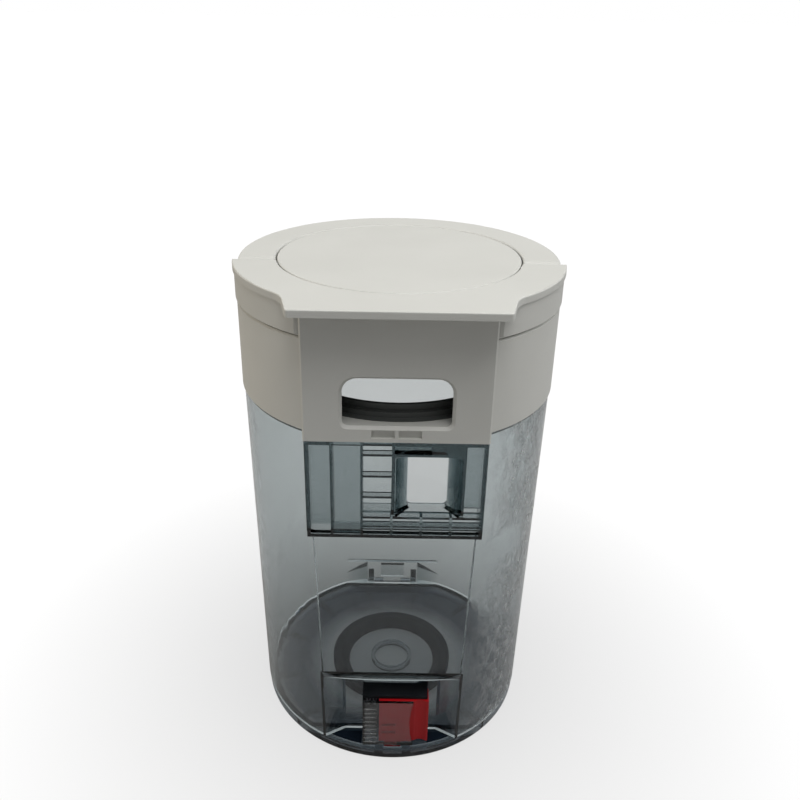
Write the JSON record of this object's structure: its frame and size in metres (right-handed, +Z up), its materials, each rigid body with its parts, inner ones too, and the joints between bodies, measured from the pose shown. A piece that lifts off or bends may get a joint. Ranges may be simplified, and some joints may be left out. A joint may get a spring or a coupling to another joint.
{
  "type": "robot vacuum dust bin",
  "caption": "Clear cylindrical dust bin with a flat ported front, grey collar and lift-off lid, folding half-ring handle, hinged bottom door and a red sliding latch.",
  "frame": {"origin": "on the bin's axis, in the plane of the door's underside that it stands on", "axes": "+Z up along the bin's axis, -Y out of the flat front with the ports, +X to the right seen from the front"},
  "size_m": [0.129, 0.1309, 0.2101],
  "materials": {
    "clear_plastic": "smoky clear, polished",
    "grey_plastic": "fine matte",
    "dark_plastic": "satin",
    "red_plastic": "satin",
    "seal_rubber": "matte",
    "steel": "drawn wire"
  },
  "bodies": {
    "bin": {"bin_body": "clear_plastic", "inlet_block": "clear_plastic", "collar": "grey_plastic", "seat_ring": "dark_plastic", "seat_gasket": "seal_rubber", "hinge_pin": "steel", "latch_bracket": "dark_plastic", "latch_cover": "clear_plastic", "latch_spring": "steel"},
    "lid": {"lid_shell": "grey_plastic", "lid_disc": "grey_plastic", "lid_seal": "seal_rubber", "lid_liner": "dark_plastic", "handle_pivot_left": "steel", "handle_pivot_right": "steel"},
    "handle": {"handle": "grey_plastic"},
    "door": {"bottom_door": "clear_plastic", "door_seal": "seal_rubber", "floor_ring": "seal_rubber", "door_pad_left": "seal_rubber", "door_pad_right": "seal_rubber"},
    "latch": {"latch_slider": "red_plastic"}
  },
  "joints": [
    {"name": "door_hinge", "type": "hinge", "parent": "bin", "child": "door", "pos_m": [0, 0.0581, 0.0032], "axis": [1, 0, 0], "range_deg": [0, 90]},
    {"name": "latch_slide", "type": "slide", "parent": "bin", "child": "latch", "axis": [-1, 0, 0], "range_m": [0, 0.005], "stiffness_N_per_m": 300, "springref_m": -0.004, "deforming": ["latch_spring"]},
    {"name": "lid_lift", "type": "slide", "parent": "bin", "child": "lid", "axis": [0, 0, 1], "range_m": [0, 0.06]},
    {"name": "handle_swing", "type": "hinge", "parent": "lid", "child": "handle", "pos_m": [0, -0.0054, 0.2066], "axis": [1, 0, 0], "range_deg": [0, 90]}
  ]
}
